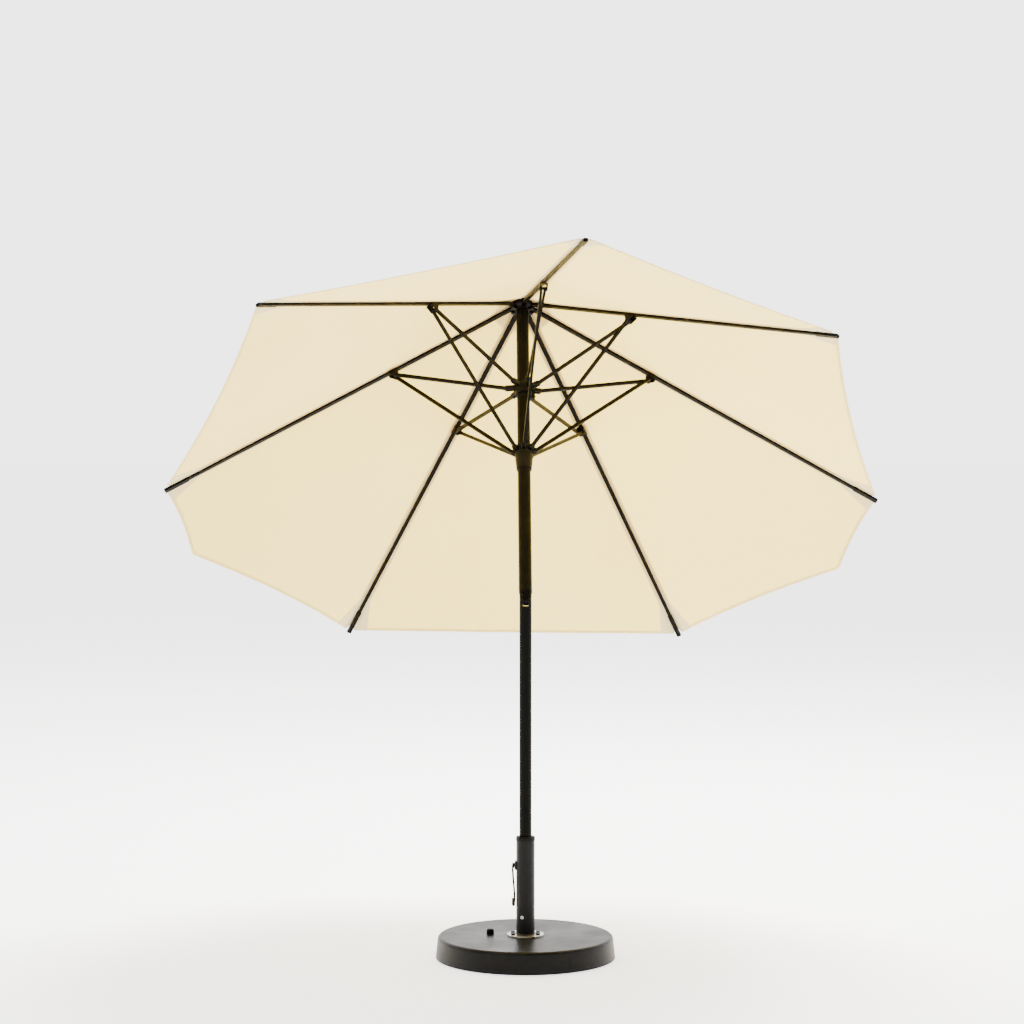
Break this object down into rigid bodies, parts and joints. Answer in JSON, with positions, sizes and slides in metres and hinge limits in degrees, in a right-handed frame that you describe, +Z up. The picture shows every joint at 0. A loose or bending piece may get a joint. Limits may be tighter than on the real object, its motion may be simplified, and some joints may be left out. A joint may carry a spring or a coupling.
{
  "type": "patio umbrella with base",
  "caption": "Garden umbrella with a ribbed fabric canopy that folds and tilts on its pole, clamped in a round weighted base.",
  "frame": {"origin": "centre of the base's underside, on the ground", "axes": "+Z up along the lower pole; the upper pole leans towards +Y at rest; +X to the right seen from -Y"},
  "size_m": [2.684, 2.0382, 2.5564],
  "materials": {
    "base_paint": "satin powder coat",
    "base_sand": "packed sand",
    "foot_rubber": "matte",
    "bright_steel": "brushed",
    "dark_steel": "dark zinc",
    "dark_plastic": "moulded",
    "pole_paint": "satin bronze powder coat",
    "frame_paint": "satin bronze powder coat",
    "canopy_cloth": "woven polyester"
  },
  "bodies": {
    "base": {"base_cover": "base_paint", "base_floor": "base_paint", "sand_fill": "base_sand", "base_feet": "foot_rubber", "mount_plate": "bright_steel", "plate_bolts": "dark_steel", "base_tube": "base_paint", "tube_screw": "bright_steel"},
    "clamp_lever": {"clamp_lever": "dark_steel"},
    "filler_plug": {"filler_plug": "dark_plastic"},
    "pole_bush": {"pole_bush": "dark_plastic"},
    "lower_pole": {"lower_pole": "pole_paint", "pole_foot_cap": "dark_plastic", "tilt_socket": "pole_paint", "tilt_pin": "bright_steel"},
    "upper_pole": {"upper_pole": "pole_paint", "tilt_knuckle": "pole_paint", "crown_hub": "dark_plastic", "hub_pins": "bright_steel", "finial": "dark_plastic"},
    "tilt_button": {"tilt_button": "dark_plastic"},
    "upper_collar": {"upper_collar": "dark_plastic"},
    "collar_latch": {"collar_latch": "dark_plastic"},
    "lower_collar": {"lower_collar": "dark_plastic", "runner_skirt": "dark_plastic"},
    "rib_1": {"rib_1": "frame_paint", "rib_fittings_1": "frame_paint", "canopy_1": "canopy_cloth"},
    "strut_upper_1": {"strut_upper_1": "frame_paint"},
    "strut_lower_1": {"strut_lower_1": "frame_paint"},
    "rib_2": {"rib_2": "frame_paint", "rib_fittings_2": "frame_paint", "canopy_2": "canopy_cloth"},
    "strut_upper_2": {"strut_upper_2": "frame_paint"},
    "strut_lower_2": {"strut_lower_2": "frame_paint"},
    "rib_3": {"rib_3": "frame_paint", "rib_fittings_3": "frame_paint", "canopy_3": "canopy_cloth"},
    "strut_upper_3": {"strut_upper_3": "frame_paint"},
    "strut_lower_3": {"strut_lower_3": "frame_paint"},
    "rib_4": {"rib_4": "frame_paint", "rib_fittings_4": "frame_paint", "canopy_4": "canopy_cloth"},
    "strut_upper_4": {"strut_upper_4": "frame_paint"},
    "strut_lower_4": {"strut_lower_4": "frame_paint"},
    "rib_5": {"rib_5": "frame_paint", "rib_fittings_5": "frame_paint", "canopy_5": "canopy_cloth"},
    "strut_upper_5": {"strut_upper_5": "frame_paint"},
    "strut_lower_5": {"strut_lower_5": "frame_paint"},
    "rib_6": {"rib_6": "frame_paint", "rib_fittings_6": "frame_paint", "canopy_6": "canopy_cloth"},
    "strut_upper_6": {"strut_upper_6": "frame_paint"},
    "strut_lower_6": {"strut_lower_6": "frame_paint"},
    "rib_7": {"rib_7": "frame_paint", "rib_fittings_7": "frame_paint", "canopy_7": "canopy_cloth"},
    "strut_upper_7": {"strut_upper_7": "frame_paint"},
    "strut_lower_7": {"strut_lower_7": "frame_paint"}
  },
  "joints": [
    {"name": "clamp_turn", "type": "hinge", "parent": "base", "child": "clamp_lever", "pos_m": [-0.0395, 0, 0.336], "axis": [-1, 0, 0], "range_deg": [0, 110]},
    {"name": "plug_turn", "type": "hinge", "parent": "base", "child": "filler_plug", "pos_m": [-0.127, 0.028, 0.082], "axis": [0, 0, 1], "range_deg": [0, 90]},
    {"name": "pole_turn", "type": "hinge", "parent": "base", "child": "pole_bush", "pos_m": [0, 0, 0.436], "axis": [0, 0, 1], "continuous": true},
    {"name": "pole_lift", "type": "slide", "parent": "pole_bush", "child": "lower_pole", "axis": [0, 0, 1], "range_m": [0, 0.3]},
    {"name": "pole_tilt", "type": "hinge", "parent": "lower_pole", "child": "upper_pole", "pos_m": [0, 0, 1.295], "axis": [1, 0, 0], "range_deg": [0, 36.5]},
    {"name": "tilt_press", "type": "slide", "parent": "upper_pole", "child": "tilt_button", "axis": [0, -0.8039, 0.5948], "range_m": [0, 0.004], "stiffness_N_per_m": 600, "springref_m": -0.003},
    {"name": "latch_press", "type": "slide", "parent": "upper_collar", "child": "collar_latch", "axis": [-0.8166, -0.4639, 0.3433], "range_m": [0, 0.004], "stiffness_N_per_m": 600, "springref_m": -0.003},
    {"name": "canopy_fold", "type": "slide", "parent": "upper_pole", "child": "lower_collar", "axis": [0, -0.5948, -0.8039], "range_m": [0, 0.44882], "deforming": ["canopy_1", "canopy_2", "canopy_3", "canopy_4", "canopy_5", "canopy_6", "canopy_7"]},
    {"name": "upper_collar_slide", "type": "slide", "parent": "upper_pole", "child": "upper_collar", "axis": [0, -0.5948, -0.8039], "range_m": [0, 0.58432]},
    {"name": "rib_1_fold", "type": "hinge", "parent": "upper_pole", "child": "rib_1", "pos_m": [0.00557, 0.7563, 2.38367], "axis": [0.9903, 0.1119, -0.0828], "range_deg": [0, 56.01]},
    {"name": "strut_upper_1_turn", "type": "hinge", "parent": "rib_1", "child": "strut_upper_1", "pos_m": [0.0679, 0.2295, 2.41734], "axis": [0.9903, 0.1119, -0.0828], "range_deg": [-134.25, 0]},
    {"name": "strut_lower_1_turn", "type": "hinge", "parent": "rib_1", "child": "strut_lower_1", "pos_m": [0.0679, 0.2295, 2.41734], "axis": [0.9903, 0.1119, -0.0828], "range_deg": [-104.07, 0]},
    {"name": "rib_2_fold", "type": "hinge", "parent": "upper_pole", "child": "rib_2", "pos_m": [0.03195, 0.76879, 2.37443], "axis": [0.6018, 0.642, -0.475], "range_deg": [0, 56.01]},
    {"name": "strut_upper_2_turn", "type": "hinge", "parent": "rib_2", "child": "strut_upper_2", "pos_m": [0.38962, 0.38184, 2.30462], "axis": [0.6018, 0.642, -0.475], "range_deg": [-134.25, 0]},
    {"name": "strut_lower_2_turn", "type": "hinge", "parent": "rib_2", "child": "strut_lower_2", "pos_m": [0.38962, 0.38184, 2.30462], "axis": [0.6018, 0.642, -0.475], "range_deg": [-104.07, 0]},
    {"name": "rib_3_fold", "type": "hinge", "parent": "upper_pole", "child": "rib_3", "pos_m": [0.03951, 0.79317, 2.35639], "axis": [-0.1564, 0.794, -0.5875], "range_deg": [0, 56.01]},
    {"name": "strut_upper_3_turn", "type": "hinge", "parent": "rib_3", "child": "strut_upper_3", "pos_m": [0.48185, 0.6792, 2.08458], "axis": [-0.1564, 0.794, -0.5875], "range_deg": [-134.25, 0]},
    {"name": "strut_lower_3_turn", "type": "hinge", "parent": "rib_3", "child": "strut_lower_3", "pos_m": [0.48185, 0.6792, 2.08458], "axis": [-0.1564, 0.794, -0.5875], "range_deg": [-104.07, 0]},
    {"name": "rib_4_fold", "type": "hinge", "parent": "upper_pole", "child": "rib_4", "pos_m": [0.01909, 0.8164, 2.3392], "axis": [-0.8788, 0.3836, -0.2838], "range_deg": [0, 56.01]},
    {"name": "strut_upper_4_turn", "type": "hinge", "parent": "rib_4", "child": "strut_upper_4", "pos_m": [0.23279, 0.9625, 1.87495], "axis": [-0.8788, 0.3836, -0.2838], "range_deg": [-134.25, 0]},
    {"name": "strut_lower_4_turn", "type": "hinge", "parent": "rib_4", "child": "strut_lower_4", "pos_m": [0.23279, 0.9625, 1.87495], "axis": [-0.8788, 0.3836, -0.2838], "range_deg": [-104.07, 0]},
    {"name": "rib_5_fold", "type": "hinge", "parent": "upper_pole", "child": "rib_5", "pos_m": [-0.0206, 0.8157, 2.33972], "axis": [-0.8572, -0.414, 0.3064], "range_deg": [0, 56.01]},
    {"name": "strut_upper_5_turn", "type": "hinge", "parent": "rib_5", "child": "strut_upper_5", "pos_m": [-0.25127, 0.95401, 1.88124], "axis": [-0.8572, -0.414, 0.3064], "range_deg": [-134.25, 0]},
    {"name": "strut_lower_5_turn", "type": "hinge", "parent": "rib_5", "child": "strut_lower_5", "pos_m": [-0.25127, 0.95401, 1.88124], "axis": [-0.8572, -0.414, 0.3064], "range_deg": [-104.07, 0]},
    {"name": "rib_6_fold", "type": "hinge", "parent": "upper_pole", "child": "rib_6", "pos_m": [-0.03978, 0.7915, 2.35762], "axis": [-0.1045, -0.7995, 0.5916], "range_deg": [0, 56.01]},
    {"name": "strut_upper_6_turn", "type": "hinge", "parent": "rib_6", "child": "strut_upper_6", "pos_m": [-0.48519, 0.65884, 2.09965], "axis": [-0.1045, -0.7995, 0.5916], "range_deg": [-134.25, 0]},
    {"name": "strut_lower_6_turn", "type": "hinge", "parent": "rib_6", "child": "strut_lower_6", "pos_m": [-0.48519, 0.65884, 2.09965], "axis": [-0.1045, -0.7995, 0.5916], "range_deg": [-104.07, 0]},
    {"name": "rib_7_fold", "type": "hinge", "parent": "upper_pole", "child": "rib_7", "pos_m": [-0.02728, 0.76462, 2.37751], "axis": [0.7314, -0.5482, 0.4057], "range_deg": [0, 56.01]},
    {"name": "strut_upper_7_turn", "type": "hinge", "parent": "rib_7", "child": "strut_upper_7", "pos_m": [-0.33272, 0.33104, 2.34221], "axis": [0.7314, -0.5482, 0.4057], "range_deg": [-134.25, 0]},
    {"name": "strut_lower_7_turn", "type": "hinge", "parent": "rib_7", "child": "strut_lower_7", "pos_m": [-0.33272, 0.33104, 2.34221], "axis": [0.7314, -0.5482, 0.4057], "range_deg": [-104.07, 0]}
  ],
  "couplings": [
    {"joint": "upper_collar_slide", "follows": "canopy_fold", "ratio": 1.3017},
    {"joint": "rib_1_fold", "follows": "canopy_fold", "rad_per_m": 2.1777},
    {"joint": "strut_upper_1_turn", "follows": "canopy_fold", "rad_per_m": -5.2203},
    {"joint": "strut_lower_1_turn", "follows": "canopy_fold", "rad_per_m": -4.0465},
    {"joint": "rib_2_fold", "follows": "canopy_fold", "rad_per_m": 2.1777},
    {"joint": "strut_upper_2_turn", "follows": "canopy_fold", "rad_per_m": -5.2203},
    {"joint": "strut_lower_2_turn", "follows": "canopy_fold", "rad_per_m": -4.0465},
    {"joint": "rib_3_fold", "follows": "canopy_fold", "rad_per_m": 2.1777},
    {"joint": "strut_upper_3_turn", "follows": "canopy_fold", "rad_per_m": -5.2203},
    {"joint": "strut_lower_3_turn", "follows": "canopy_fold", "rad_per_m": -4.0465},
    {"joint": "rib_4_fold", "follows": "canopy_fold", "rad_per_m": 2.1777},
    {"joint": "strut_upper_4_turn", "follows": "canopy_fold", "rad_per_m": -5.2203},
    {"joint": "strut_lower_4_turn", "follows": "canopy_fold", "rad_per_m": -4.0465},
    {"joint": "rib_5_fold", "follows": "canopy_fold", "rad_per_m": 2.1777},
    {"joint": "strut_upper_5_turn", "follows": "canopy_fold", "rad_per_m": -5.2203},
    {"joint": "strut_lower_5_turn", "follows": "canopy_fold", "rad_per_m": -4.0465},
    {"joint": "rib_6_fold", "follows": "canopy_fold", "rad_per_m": 2.1777},
    {"joint": "strut_upper_6_turn", "follows": "canopy_fold", "rad_per_m": -5.2203},
    {"joint": "strut_lower_6_turn", "follows": "canopy_fold", "rad_per_m": -4.0465},
    {"joint": "rib_7_fold", "follows": "canopy_fold", "rad_per_m": 2.1777},
    {"joint": "strut_upper_7_turn", "follows": "canopy_fold", "rad_per_m": -5.2203},
    {"joint": "strut_lower_7_turn", "follows": "canopy_fold", "rad_per_m": -4.0465}
  ]
}
